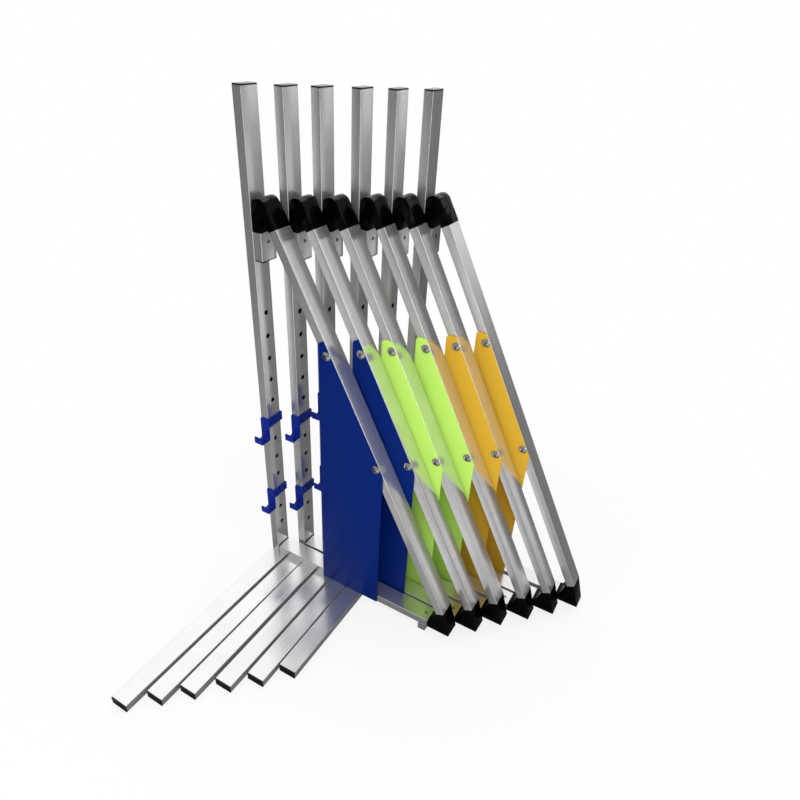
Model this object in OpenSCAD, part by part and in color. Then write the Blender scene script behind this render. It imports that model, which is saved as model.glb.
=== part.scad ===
// Nest of six dog agility hurdle wings.
// Each wing is an upright on a long foot rail, a side rail, a slanted brace, a coloured panel
// and two jump cups that slide on the upright and hold the ends of the jump bars.
// Frame: X along the side rails, Y along the foot rails (their tips point to -Y), Z up.
// The origin is the middle of the whole nest on the floor.

/* [Tube] */
// Wide side of the rectangular aluminium tube
tube_w = 40; // [38:0.5:42]
// Narrow side of the rectangular aluminium tube
tube_t = 19; // [18:0.25:20]
// Wall of the tube
tube_wall = 1.5; // [1.2:0.1:2]
// Radius of the tube's outer corners
tube_r = 1.2; // [0.6:0.1:1.4]

/* [Wing frame] */
// Length of the upright tube, which stands on the foot rail
upright_len = 1030; // [960:5:1100]
// Length of the foot rail with its end plugs
foot_len = 531; // [480:1:600]
// Angle between the brace and the vertical
brace_angle = 28.45; // [27.5:0.05:29.5]
// Height of the brace's pivot above the floor
pivot_h = 864; // [840:1:890]
// Length of the short tube under the pivot
stub_len = 51; // [46:1:60]
// Width of the foot block along the side rail
block_len = 19; // [16:0.5:24]
// Distance from the side rail's outer end to the middle of the foot block
block_in = 13; // [12.5:0.25:16]

/* [Plugs and tongues] */
// Thickness of a plug's visible flange
plug_flange = 2.5; // [1.5:0.25:3.5]
// Depth of a plug inside its tube
plug_depth = 15; // [8:1:20]
// Depth of a fitting's tongue inside its tube
tongue_depth = 26; // [24:1:36]
// Distance that a plug's flange stays inside the tube's outline
plug_inset = 0.15; // [0.1:0.05:0.5]
// Clearance between a plug or tongue and the tube's inner wall
plug_gap = 0.1; // [0.05:0.05:0.3]

/* [Knuckle] */
// Distance from the pivot to the ends of the two tubes that it joins
knuckle_reach = 43; // [38:1:50]
// Distance from the pivot to the far face of each tube
knuckle_offset = 18; // [17.75:0.25:20]
// Radius of the round ears
ear_r = 17.2; // [14:0.1:17.4]
// Depth of the front ear
ear_depth = 19.5; // [12:0.5:26]
// Clearance between the two halves
ear_gap = 0.3; // [0.1:0.1:0.6]
// Distance from the pivot down to the top of the stub half's collar in front of its ear
stub_ledge = 6; // [5:0.5:12]
// Diameter of the pin through the ears
pin_d = 8; // [5:0.5:12]
// Plastic left over each end of the pin
pin_cover = 3; // [2:0.5:5]

/* [Corner boot] */
// Height of the boot above the underside of the side rail, at the brace's outer face
boot_h = 62; // [50:1:80]
// Length of the boot from the side rail's end to the brace's outer corner
boot_neck = 36; // [33:1:45]
// Length of the toe beyond the brace's outer corner
boot_toe = 19.3; // [10:0.1:30]
// Length of the heel on top of the side rail's end
boot_heel = 6; // [3:0.5:9]

/* [Panel] */
// Thickness of the coloured panel
panel_t = 3; // [2:0.25:4]
// Distance from the upright's face to the panel's near edge
panel_in = 137.5; // [120:0.5:150]
// Width of the panel
panel_w = 156.5; // [130:0.5:170]
// Distance along the brace from the pivot to the top edge of a panel that is cut square to it
panel_top = 252; // [200:1:260]

/* [Fasteners] */
// Distance along the brace from the pivot to the upper bolt
bolt_upper = 280.5; // [270:0.5:300]
// Distance along the brace from the pivot to the lower bolt
bolt_lower = 527.5; // [480:0.5:530]
// Distance from the brace's outer face to the middle of a bolt
bolt_edge = 8; // [7:0.25:10]
// Diameter of a bolt's domed head
bolt_head_d = 20; // [12:0.5:20]
// Height of a bolt's domed head
bolt_head_h = 5; // [3:0.25:6]
// Diameter of a bolt's shank
bolt_d = 6; // [4:0.5:8]
// Length of a bolt's shank
bolt_len = 14; // [10:1:30]
// Diameter of a rivet's head
rivet_head_d = 7; // [5:0.25:8]
// Height of a rivet's head
rivet_head_h = 1; // [0.5:0.1:1.5]
// Diameter of a rivet's shank
rivet_d = 4; // [3:0.25:4.5]
// Distance from the stub tube's upper end to the rivet through it
rivet_in = 18; // [14:0.5:19]
// Depth to which the rivet goes into the foot block
rivet_bite = 12; // [6:1:15]
// Clearance round a shank in its hole
shank_gap = 0.05; // [0.03:0.01:0.1]

/* [Peg holes] */
// Diameter of the holes for the jump cups
hole_d = 10.5; // [9:0.25:11]
// Distance from one hole to the next
hole_pitch = 50; // [46:1:50]
// Height of the lowest hole above the floor
hole_first = 110; // [105:1:120]
// Number of holes
hole_count = 12; // [9:1:12]

/* [Jump cups] */
// Hole of the upper cup, counted from 0 at the bottom
upper_hole = 6; // [5:1:6]
// Hole of the lower cup, counted from 0 at the bottom
lower_hole = 2; // [1:1:2]
// Thickness of a cup's walls
cup_t = 3; // [2.5:0.25:3.5]
// Clearance between a cup and the upright
cup_gap = 0.2; // [0.1:0.05:0.3]
// Height of the cup's top edge above its hole
cup_top = 10.5; // [9:0.5:16]
// Depth of the hook's underside below the cup's hole
hook_drop = 44; // [40:1:50]
// Width of the trough that holds the bar
trough_w = 20.5; // [18:0.25:23]
// Height of the hook's lip
lip_h = 16; // [12:0.5:20]
// Radius at the foot of the trough
trough_r = 4; // [2:0.5:6]
// Height of the band across the upright's face
band_h = 21; // [16:0.5:23]
// Length of the clip behind the upright
clip_len = 11; // [6:0.5:15]

/* [Hidden] */
$fn = 48;
// Extra room between neighbouring wings along X, on top of the foot rail's width
nest_room_x = [7.5, 1, 7.5, 4, 2];
// Extra room between neighbouring wings along Y, on top of the side rail and the panel
nest_room_y = [2.5, 1, 6.5, 1.5, 7.5];
// Turn of each wing about its upright, in degrees
nest_turn = [0, 0, 0.5, 0.6, 0.9, 1];
// Number of holes by which each wing's cups hang above the usual ones
cup_shift = [0, 0, 1, 0, 0, 0];
// Width taken off each panel's near edge
panel_trim = [4, 4, 0, 0, 0, 0];
// 1 for each panel whose top edge is level, 0 where it is square to the brace
panel_level = [0, 0, 1, 1, 1, 1];
// Colour of each wing's panel
panel_colors = ["#12308c", "#12308c", "#9fe03a", "#9fe03a", "#d9a428", "#d9a428"];
metal_color = "#b8babb";
plastic_color = "#161719";
cup_color = "#1a2fb0";
bolt_color = "#d5d7da";

wing_count = len(nest_turn);
piece_kinds = ["upright", "side_rail", "foot_rail", "brace", "short_tubes", "plastic_fittings",
    "panel", "fasteners", "upper_cup", "lower_cup"];

// Cuts run this far past a face
over = 1;

// Place of wing i's upright edge in the nest, before the nest is centred
function sum_to(list, count) = count == 0 ? 0 : list[count - 1] + sum_to(list, count - 1);
function wing_x(i) = (i - 1) * tube_w + sum_to(nest_room_x, i - 1);
function wing_y(i) = (i - 1) * (tube_w + panel_t) + sum_to(nest_room_y, i - 1);

// Brace: the pivot, and the directions across and down it in the plane of the wing
pivot_x = knuckle_offset;
brace_out = [cos(brace_angle), sin(brace_angle)];
brace_down = [sin(brace_angle), -cos(brace_angle)];
function on_brace(across, down) = [pivot_x, pivot_h] + across * brace_out + down * brace_down;

// The floor frame of a wing: foot rail below, side rail on it
rail_z = tube_t;
rail_top = 2 * tube_t;
upright_top = tube_t + upright_len;
foot_y = tube_w - foot_len;

// Corner boot: the brace ends where its outer face is boot_h above the rail's underside
brace_end = (pivot_h + knuckle_offset * sin(brace_angle) - rail_z - boot_h) / cos(brace_angle);
boot_outer = on_brace(knuckle_offset, brace_end);
boot_inner = on_brace(knuckle_offset - tube_t, brace_end);
rail_end = boot_outer[0] - boot_neck;
boot_tip = boot_outer[0] + boot_toe;
block_x = rail_end - block_in;

// Stub tube under the knuckle
stub_top = pivot_h - knuckle_reach;
stub_foot = stub_top - stub_len;
stub_rivet_z = stub_top - rivet_in;

// Panel: its right edge meets the brace's outer face at the shoulder
panel_right = panel_in + panel_w;
panel_tip = on_brace(knuckle_offset, panel_top);
panel_right_down = (panel_right - pivot_x - knuckle_offset * brace_out[0]) / brace_down[0];
panel_shoulder = on_brace(knuckle_offset, panel_right_down);

// Radius of the ball that a domed head is cut from
dome_r = (pow(bolt_head_h, 2) + pow(bolt_head_d / 2, 2)) / (2 * bolt_head_h);
bolt_across = knuckle_offset - bolt_edge;

// Centre of the nest's outline
nest_turn_end = nest_turn[wing_count - 1];
nest_x_min = -tube_t;
nest_x_max = wing_x(wing_count) + boot_tip * cos(nest_turn_end);
nest_y_min = foot_y;
nest_y_max = wing_y(wing_count) + boot_tip * sin(nest_turn_end) + tube_w * cos(nest_turn_end);
nest_centre = [(nest_x_min + nest_x_max) / 2, (nest_y_min + nest_y_max) / 2];

// Puts a piece of wing i where that wing stands in the nest
module in_nest(i) {
    translate([wing_x(i) - nest_centre[0], wing_y(i) - nest_centre[1], 0])
        rotate([0, 0, nest_turn[i - 1]])
            children();
}

// Outlines

module rounded(w, h, r) {
    translate([r, 0]) square([w - 2 * r, h]);
    translate([0, r]) square([w, h - 2 * r]);
    for (x = [r, w - r], y = [r, h - r]) {
        translate([x, y]) circle(r);
    }
}

module tube_outline() {
    rounded(tube_t, tube_w, tube_r);
}

// The bore of the tube, made smaller all round by a gap
module bore_outline(gap) {
    inset = tube_wall + gap;
    translate([inset, inset]) square([tube_t - 2 * inset, tube_w - 2 * inset]);
}

// Shapes that repeat

// Tube along +Z, with its narrow side along X
module tube(length) {
    linear_extrude(length) difference() {
        tube_outline();
        bore_outline(0);
    }
}

// End plug that sits on the end of a tube, with its tongue down in the bore
module plug() {
    linear_extrude(plug_flange)
        translate([plug_inset, plug_inset])
            rounded(tube_t - 2 * plug_inset, tube_w - 2 * plug_inset, tube_r);
    translate([0, 0, -plug_depth]) linear_extrude(plug_depth + plug_flange) bore_outline(plug_gap);
}

// Tongue of a fitting, down in the bore of a tube that ends at Z = 0
module tongue() {
    translate([0, 0, -tongue_depth]) linear_extrude(tongue_depth + over) bore_outline(plug_gap);
}

// An outline in X and Z, made thick from one Y to another
module slab(y_from, y_to) {
    translate([0, y_to, 0]) rotate([90, 0, 0]) linear_extrude(y_to - y_from) children();
}

// Turns a piece along +Z so that it lies along +X with its narrow side up
module along_side_rail() {
    translate([0, 0, rail_top]) rotate([0, 90, 0]) children();
}

// Turns a piece along +Z so that it lies along +Y with its narrow side up
module along_foot_rail() {
    translate([-tube_t, 0, 0]) rotate([0, -90, -90]) children();
}

// Frame at the pivot whose X is square to the brace and whose Z runs up the brace
module on_pivot(turn) {
    translate([pivot_x, 0, pivot_h]) rotate([0, turn, 0]) children();
}

// Hole or shank of the rivet through the stub tube and the upright's face
module stub_rivet_shank(r) {
    translate([-tube_wall - over, tube_w / 2, stub_rivet_z])
        rotate([0, 90, 0])
            cylinder(r = r, h = tube_t + tube_wall + over);
}

// Hole or shank of the rivet down through the side rail into the foot block
module foot_rivet_shank(r, past) {
    translate([block_x, tube_w / 2, rail_z - rivet_bite])
        cylinder(r = r, h = tube_t + rivet_bite + past);
}

// Puts a piece that rises along +Z on the panel's face at each of the two bolts, facing -Y
module at_bolts() {
    for (down = [bolt_upper, bolt_lower]) {
        spot = on_brace(bolt_across, down);
        translate([spot[0], -panel_t, spot[1]]) rotate([90, 0, 0]) children();
    }
}

// Holes for the two bolts
module bolt_holes() {
    at_bolts() translate([0, 0, -bolt_len]) cylinder(r = bolt_d / 2 + shank_gap, h = bolt_len + over);
}

// Sub-parts

module upright(i) {
    color(metal_color) in_nest(i) difference() {
        translate([-tube_t, 0, tube_t]) tube(upright_len);
        for (k = [0 : hole_count - 1]) {
            translate([-tube_wall - over, tube_w / 2, hole_first + k * hole_pitch])
                rotate([0, 90, 0])
                    cylinder(d = hole_d, h = tube_wall + 2 * over);
        }
        stub_rivet_shank(rivet_d / 2 + shank_gap);
    }
}

module side_rail(i) {
    color(metal_color) in_nest(i) difference() {
        along_side_rail() translate([0, 0, plug_flange]) tube(rail_end - plug_flange);
        foot_rivet_shank(rivet_d / 2 + shank_gap, over);
    }
}

module foot_rail(i) {
    color(metal_color) in_nest(i) along_foot_rail()
        translate([0, 0, foot_y + plug_flange])
            tube(foot_len - 2 * plug_flange);
}

module brace(i) {
    color(metal_color) in_nest(i) difference() {
        on_pivot(-brace_angle)
            translate([knuckle_offset - tube_t, 0, -brace_end])
                tube(brace_end - knuckle_reach);
        bolt_holes();
    }
}

// The short tube under the knuckle and the block under the side rail's outer end
module short_tubes(i) {
    color(metal_color) in_nest(i) {
        difference() {
            translate([0, 0, stub_foot]) tube(stub_len);
            stub_rivet_shank(rivet_d / 2 + shank_gap);
        }
        difference() {
            translate([block_x - block_len / 2, 0, 0])
                linear_extrude(rail_z)
                    rounded(block_len, tube_w, 2 * tube_r);
            foot_rivet_shank(rivet_d / 2 + shank_gap, over);
        }
    }
}

// Half of the knuckle at the pivot: a collar on the tube at +X and an ear round the pin.
// Beside the ear, the collar ends at a ledge and leaves room for the other half's ear.
// Children are outlines that are added to the ear.
module knuckle_half(ear_from, ear_to, ledge) {
    other_from = ear_from > 0 ? -over : ear_to;
    other_to = ear_from > 0 ? ear_from : tube_w + over;
    difference() {
        union() {
            translate([knuckle_offset - tube_t, 0, -knuckle_reach])
                linear_extrude(knuckle_reach)
                    tube_outline();
            slab(ear_from, ear_to) {
                circle(ear_r);
                children();
            }
            translate([knuckle_offset - tube_t, 0, -knuckle_reach]) tongue();
        }
        slab(other_from, other_to) {
            circle(ear_r + ear_gap);
            translate([-tube_w, -ledge]) square([2 * tube_w, tube_w]);
        }
        slab(pin_cover, tube_w - pin_cover) circle(d = pin_d + 2 * shank_gap);
    }
}

// Square corner of the stub half's ear, which stops the brace half at its ledge
module knuckle_stop() {
    mirror([1, 0]) rotate(brace_angle) translate([0, -ear_r]) square(ear_r);
}

// The boot at the corner between the side rail and the brace
module corner_boot() {
    slab(0, tube_w) {
        polygon([
            [rail_end, rail_z],
            [boot_tip, rail_z],
            boot_outer,
            boot_inner,
            [rail_end + boot_heel, rail_top],
            [rail_end, rail_top],
        ]);
    }
    along_side_rail() translate([0, 0, rail_end]) tongue();
    on_pivot(-brace_angle)
        translate([knuckle_offset - tube_t, 0, -brace_end])
            mirror([0, 0, 1])
                tongue();
}

// Black plastic: the two halves of the knuckle, the corner boot and the end plugs
module plastic_fittings(i) {
    color(plastic_color) in_nest(i) {
        difference() {
            on_pivot(0)
                mirror([1, 0, 0])
                    knuckle_half(ear_depth + ear_gap, tube_w, stub_ledge)
                        knuckle_stop();
            stub_rivet_shank(rivet_d / 2 + shank_gap);
        }
        on_pivot(-brace_angle) knuckle_half(0, ear_depth, ear_r + ear_gap);
        difference() {
            corner_boot();
            foot_rivet_shank(rivet_d / 2 + shank_gap, over);
        }
        translate([-tube_t, 0, upright_top]) plug();
        translate([0, 0, stub_foot]) mirror([0, 0, 1]) plug();
        along_side_rail() translate([0, 0, plug_flange]) mirror([0, 0, 1]) plug();
        along_foot_rail() translate([0, 0, tube_w - plug_flange]) plug();
        along_foot_rail() translate([0, 0, foot_y + plug_flange]) mirror([0, 0, 1]) plug();
    }
}

module panel(i) {
    near = panel_in + panel_trim[i - 1];
    near_z = panel_tip[1] - (panel_tip[0] - near) * tan(brace_angle);
    tip_drop = panel_level[i - 1] * (panel_tip[1] - near_z) / cos(brace_angle);
    color(panel_colors[i - 1]) in_nest(i) difference() {
        slab(-panel_t, 0) {
            polygon([
                [near, rail_z],
                [near, near_z],
                on_brace(knuckle_offset, panel_top + tip_drop),
                panel_shoulder,
                [panel_right, rail_z],
            ]);
        }
        bolt_holes();
    }
}

// Domed head that rises from Z = 0
module domed_head() {
    intersection() {
        translate([0, 0, bolt_head_h - dome_r]) sphere(dome_r);
        cylinder(r = dome_r, h = bolt_head_h);
    }
}

// The panel's two bolts, the knuckle's pin and the two rivets
module fasteners(i) {
    color(bolt_color) in_nest(i) {
        at_bolts() {
            domed_head();
            translate([0, 0, -bolt_len]) cylinder(d = bolt_d, h = bolt_len + over);
        }
        on_pivot(0) slab(pin_cover, tube_w - pin_cover) circle(d = pin_d);
        stub_rivet_shank(rivet_d / 2);
        translate([tube_t, tube_w / 2, stub_rivet_z])
            rotate([0, 90, 0])
                cylinder(d = rivet_head_d, h = rivet_head_h);
        foot_rivet_shank(rivet_d / 2, 0);
        translate([block_x, tube_w / 2, rail_top]) cylinder(d = rivet_head_d, h = rivet_head_h);
    }
}

// Trough and walls of the cup in Y and Z, seen from its end, with its hole at the origin
module cup_outline() {
    cheek_y = -cup_gap - cup_t;
    lip_y = cheek_y - trough_w;
    floor_z = cup_t - hook_drop;
    difference() {
        translate([lip_y - cup_t, -hook_drop])
            square([trough_w + 2 * cup_t, cup_top + hook_drop]);
        // The trough, open at the top
        translate([lip_y + trough_r, floor_z])
            square([trough_w - 2 * trough_r, cup_top + hook_drop]);
        translate([lip_y, floor_z + trough_r])
            square([trough_w, cup_top + hook_drop]);
        for (y = [lip_y + trough_r, cheek_y - trough_r]) {
            translate([y, floor_z + trough_r]) circle(trough_r);
        }
        // Everything above the lip
        translate([lip_y - cup_t - over, lip_h - hook_drop])
            square([cup_t + over + trough_w / 2, cup_top + hook_drop]);
    }
}

// Plastic cup that hooks round the upright: a cheek with the trough, a band and a clip
module jump_cup(i, hole) {
    band_out = cup_gap + cup_t;
    band_from = cup_top - band_h;
    color(cup_color) in_nest(i) translate([0, 0, hole_first + (hole + cup_shift[i - 1]) * hole_pitch]) {
        translate([-tube_t, 0, 0])
            rotate([90, 0, 90])
                linear_extrude(tube_t + band_out)
                    cup_outline();
        translate([cup_gap, -cup_gap - cup_t / 2, band_from])
            cube([cup_t, tube_w + 2 * cup_gap + 1.5 * cup_t, band_h]);
        translate([band_out - clip_len, tube_w + cup_gap, band_from])
            cube([clip_len, cup_t, band_h]);
    }
}

module upper_cup(i) {
    jump_cup(i, upper_hole);
}

module lower_cup(i) {
    jump_cup(i, lower_hole);
}

for (i = [1 : wing_count]) {
    upright(i);
    side_rail(i);
    foot_rail(i);
    brace(i);
    short_tubes(i);
    plastic_fittings(i);
    panel(i);
    fasteners(i);
    upper_cup(i);
    lower_cup(i);
}
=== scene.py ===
"""Finishes, moulded parts, light and camera for a nest of dog agility hurdle wings.

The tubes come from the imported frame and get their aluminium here. The moulded plastic, the panels
and the fasteners are modelled on one wing and copied to every wing of the nest.
"""

import math

import bmesh
import bpy
from mathutils import Matrix, Vector


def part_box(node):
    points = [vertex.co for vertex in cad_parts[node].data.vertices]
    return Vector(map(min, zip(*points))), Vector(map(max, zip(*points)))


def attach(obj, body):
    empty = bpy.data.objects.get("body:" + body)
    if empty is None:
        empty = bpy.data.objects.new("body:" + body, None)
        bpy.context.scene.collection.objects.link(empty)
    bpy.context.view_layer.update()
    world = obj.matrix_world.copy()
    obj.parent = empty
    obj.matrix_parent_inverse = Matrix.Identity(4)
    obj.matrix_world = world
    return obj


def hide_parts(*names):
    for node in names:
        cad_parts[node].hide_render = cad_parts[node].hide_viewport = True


bl_info = {
    "name": "Nested agility hurdle wings",
    "version": (1, 0, 0),
    "blender": (4, 5, 0),
    "location": "View3D > Sidebar > Hurdle wings",
    "description": "Models and finishes a nest of dog agility hurdle wings",
    "category": "Object",
}

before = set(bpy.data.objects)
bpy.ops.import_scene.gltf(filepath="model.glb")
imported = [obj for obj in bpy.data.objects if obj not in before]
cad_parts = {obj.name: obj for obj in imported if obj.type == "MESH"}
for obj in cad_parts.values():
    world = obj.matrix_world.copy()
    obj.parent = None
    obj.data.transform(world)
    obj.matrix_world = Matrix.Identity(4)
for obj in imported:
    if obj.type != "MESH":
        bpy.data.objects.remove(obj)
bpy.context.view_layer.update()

MM = 0.001
WINGS = range(1, 1 + sum(name.startswith("upright_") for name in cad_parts))
PANEL_COLOURS = ("blue", "blue", "lime", "lime", "yellow", "yellow")
X_AXIS, Y_AXIS, Z_AXIS = Vector((1, 0, 0)), Vector((0, 1, 0)), Vector((0, 0, 1))

# The direction of the die lines on each kind of tube
TUBE_LINES = {
    "upright": "Z",
    "side_rail": "X",
    "foot_rail": "Y",
    "brace": "brace",
    "short_tubes": "Z",
}

# A solid that is taken away from another one reaches this far past it
OVERCUT = 1 * MM

# A face looks along an axis when its normal has more than this share of it
FACING = 0.9

# An edge lies along an axis when it has more than this share of it
ALONG = 0.99

# Noise seldom leaves this span, which is stretched to the range that a look needs
NOISE_SPAN = {"From Min": 0.3, "From Max": 0.7}

# A Mix node has sockets A, B and Result for each kind of data, and these are the colour's
MIX_A, MIX_B, MIX_RESULT = 6, 7, 2

WHITE = (1, 1, 1, 1)


def box_size(node):
    low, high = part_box(node)
    return high - low


# The first wing isn't turned, so its boxes give the tube's sizes
TUBE_T, TUBE_W, UPRIGHT_LEN = box_size("upright_1")
RAIL_LEN = box_size("side_rail_1").x
RAIL_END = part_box("side_rail_1")[1].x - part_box("upright_1")[1].x
FOOT_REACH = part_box("upright_1")[0].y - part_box("plastic_fittings_1")[0].y


def wing_place(wing):
    """The matrix that takes a piece from the wing's own frame to its place in the nest."""
    turn = math.asin((box_size(f"side_rail_{wing}").y - TUBE_W) / RAIL_LEN)
    low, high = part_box(f"upright_{wing}")
    corner = Vector((high.x, low.y + TUBE_T * math.sin(turn), 0))
    return Matrix.Translation(corner) @ Matrix.Rotation(turn, 4, "Z")


def length(description, millimetres):
    return bpy.props.FloatProperty(
        name=description.split(",")[0],
        description=description,
        default=millimetres * MM,
        min=0,
        subtype="DISTANCE",
        unit="LENGTH",
    )


def linear(hex_colour):
    """An sRGB hex colour as the linear red, green, blue and alpha that a shader takes."""
    values = [int(hex_colour[i : i + 2], 16) / 255 for i in (1, 3, 5)]
    return [v / 12.92 if v <= 0.04045 else ((v + 0.055) / 1.055) ** 2.4 for v in values] + [1.0]


def colour(description, hex_colour):
    return bpy.props.FloatVectorProperty(
        name=description.split(",")[0],
        description=description,
        default=linear(hex_colour),
        size=4,
        min=0,
        max=1,
        subtype="COLOR",
    )


class HurdleBraceSizes(bpy.types.PropertyGroup):
    angle: bpy.props.FloatProperty(
        name="Brace angle",
        description="Angle between the brace and the vertical",
        default=math.radians(28.45),
        subtype="ANGLE",
    )
    pivot_height: length("Height of the pivot above the floor", 864)
    tube_offset: length("Distance from the pivot to the far face of each tube", 18)
    tube_reach: length("Distance from the pivot to the ends of the tubes", 43)
    ear_radius: length("Radius of the knuckle's ears", 17.2)
    ear_depth: length("Depth of the front ear", 19.5)
    ear_gap: length("Clearance between the halves of the knuckle", 0.3)
    stub_ledge: length("Distance from the pivot down to the stub half's ledge", 6)
    stub_length: length("Length of the short tube under the knuckle", 51)


class HurdleFittingSizes(bpy.types.PropertyGroup):
    boot_height: length("Height of the boot above the underside of the side rail", 62)
    boot_toe: length("Length of the toe beyond the brace", 19.3)
    boot_heel: length("Length of the heel on the side rail", 6)
    flange: length("Thickness of a plug's flange", 2.5)
    flange_inset: length("Distance that a flange stays inside the tube's outline", 0.15)
    plug_inset: length("Distance from the tube's outline to the plug inside it", 1.6)
    plug_depth: length("Depth of a plug inside its tube", 15)
    rounding: length("Rounding of the moulded edges", 0.9)
    spare: length("Height that is cut off again where the boot meets the brace", 5)


class HurdlePanelSizes(bpy.types.PropertyGroup):
    thickness: length("Thickness of the panel", 3)
    edge: length("Easing of the panel's cut edges", 0.5)
    inset: length("Distance from the upright's face to the panel's near edge", 137.5)
    width: length("Width of the panel", 156.5)
    top: length("Distance along the brace from the pivot to the panel's top edge", 252)
    blue_trim: length("Width taken off the near edge of a blue panel", 4)
    corner_cut: length("Cut across the near corner of a level top edge", 5)
    bolt_upper: length("Distance along the brace from the pivot to the upper bolt", 280.5)
    bolt_lower: length("Distance along the brace from the pivot to the lower bolt", 527.5)
    bolt_edge: length("Distance from the brace's outer face to the middle of a bolt", 8)
    head_diameter: length("Diameter of a bolt's domed head", 20)
    head_height: length("Height of a bolt's domed head", 5)
    head_rim: length("Height of the rim under the dome", 0.8)
    head_rounding: length("Rounding of the head's edges", 0.2)
    socket_width: length("Width of the hexagon socket in a bolt's head, across its flats", 6)
    socket_depth: length("Depth of the hexagon socket", 3)
    rivet_diameter: length("Diameter of a rivet's head", 7)
    rivet_height: length("Height of a rivet's head", 1)
    rivet_rounding: length("Rounding of a rivet's edges", 0.3)
    rivet_shank: length("Diameter of a rivet's shank", 4)
    rivet_bore: length("Diameter of the bore that the broken stem leaves", 2.6)
    rivet_drop: length("Distance from the stub tube's upper end to its rivet", 18)
    rivet_inset: length("Distance from the side rail's outer end to its rivet", 13)


class HurdleCupSizes(bpy.types.PropertyGroup):
    wall: length("Thickness of a cup's walls", 3)
    gap: length("Clearance between a cup and the upright", 0.2)
    top: length("Height of the cup's top edge above its hole", 10.5)
    drop: length("Depth of the hook's underside below its hole", 44)
    trough: length("Width of the trough that holds the bar", 20.5)
    lip: length("Height of the hook's lip", 16)
    trough_radius: length("Radius at the foot of the trough", 4)
    band: length("Height of the band across the upright", 21)
    clip: length("Length of the clip behind the upright", 11)
    corner: length("Radius of the cheek's upper corner", 3.5)
    rounding: length("Rounding of the cup's edges", 0.6)


class HurdleColours(bpy.types.PropertyGroup):
    aluminium: colour("Extruded aluminium", "#e9e8e8")
    # Painted shade: this colour darkens the tubes' closed bores and a bolt's socket
    bore: colour("Dull inside of the tubes, and the grime in a bolt's socket", "#1c1c1b")
    black: colour("Black moulded plastic", "#020203")
    blue: colour("Blue panel", "#02226f")
    lime: colour("Lime panel", "#c0f06a")
    yellow: colour("Yellow panel", "#dcad34")
    cup: colour("Jump cup", "#0b2588")
    zinc: colour("Zinc plate", "#b4b3b0")
    floor: colour("Floor", "#f2f2f2")


class HurdleStage(bpy.types.PropertyGroup):
    camera_place: bpy.props.FloatVectorProperty(
        name="Camera place",
        description="Where the photograph was taken from",
        default=(0.4383, -0.7398, 1.1678),
        subtype="TRANSLATION",
        unit="LENGTH",
    )
    camera_azimuth: bpy.props.FloatProperty(
        name="Camera azimuth",
        description="Turn of the camera from +Y towards -X",
        default=math.radians(27.93),
        subtype="ANGLE",
    )
    camera_dip: bpy.props.FloatProperty(
        name="Camera dip",
        description="Angle by which the camera looks down",
        default=math.radians(35.3),
        subtype="ANGLE",
    )
    camera_roll: bpy.props.FloatProperty(
        name="Camera roll",
        description="Turn of the camera about its own axis",
        default=math.radians(3.96),
        subtype="ANGLE",
    )
    lens: bpy.props.FloatProperty(
        name="Focal length",
        description="Focal length on a sensor 36 mm wide",
        default=27.84,
        unit="CAMERA",
    )
    shift: bpy.props.FloatVectorProperty(
        name="Lens shift",
        description="Shift of the lens, as a share of the picture's width",
        default=(-0.0033, 0.0543),
        size=2,
    )
    floor_size: length("Side of the floor", 12000)
    floor_gap: length("Distance of the floor below the foot rails", 0.2)


def sizes(name):
    return getattr(bpy.context.scene, name)


# The brace's own directions in the plane of the wing


def brace_out():
    angle = sizes("hurdle_brace").angle
    return Vector((math.cos(angle), 0, math.sin(angle)))


def brace_down():
    angle = sizes("hurdle_brace").angle
    return Vector((math.sin(angle), 0, -math.cos(angle)))


def pivot():
    brace = sizes("hurdle_brace")
    return Vector((brace.tube_offset, 0, brace.pivot_height))


def on_brace(across, down):
    return pivot() + across * brace_out() + down * brace_down()


def turned(x_to, y_to, z_to, origin):
    """The matrix that sends the three axes along the given directions and moves to origin."""
    matrix = Matrix((x_to, y_to, z_to)).transposed().to_4x4()
    matrix.translation = origin
    return matrix


# Modelling, as by hand


def let_go():
    if bpy.context.object and bpy.context.object.mode != "OBJECT":
        bpy.ops.object.mode_set(mode="OBJECT")
    bpy.ops.object.select_all(action="DESELECT")


def add_block(name, low, high):
    """A block from one corner to the other, with its place in its mesh."""
    let_go()
    middle = [(a + b) / 2 for a, b in zip(low, high)]
    bpy.ops.mesh.primitive_cube_add(size=1, location=middle)
    block = bpy.context.object
    block.name = name
    block.scale = [b - a for a, b in zip(low, high)]
    bpy.ops.object.transform_apply(location=True, rotation=True, scale=True)
    return block


def add_disc(name, radius, y_from, y_to):
    """A round disc whose axis is the Y axis."""
    let_go()
    bpy.ops.mesh.primitive_cylinder_add(
        vertices=64,
        radius=radius,
        depth=y_to - y_from,
        location=(0, (y_from + y_to) / 2, 0),
        rotation=(math.pi / 2, 0, 0),
    )
    disc = bpy.context.object
    disc.name = name
    bpy.ops.object.transform_apply(location=True, rotation=True, scale=True)
    return disc


def work_on(piece):
    """Opens one piece in edit mode with nothing in it selected."""
    let_go()
    bpy.context.view_layer.objects.active = piece
    piece.select_set(True)
    bpy.ops.object.mode_set(mode="EDIT")
    bpy.ops.mesh.select_all(action="DESELECT")


def pick_faces(piece, test):
    """Selects the faces whose middle and normal pass the test."""
    bpy.ops.mesh.select_mode(type="FACE")
    bpy.ops.mesh.select_all(action="DESELECT")
    mesh = bmesh.from_edit_mesh(piece.data)
    found = [face for face in mesh.faces if test(face.calc_center_median(), face.normal)]
    if not found:
        raise RuntimeError(f"no face of {piece.name} is where one was expected")
    for face in found:
        face.select_set(True)
    bmesh.update_edit_mesh(piece.data)


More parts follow.
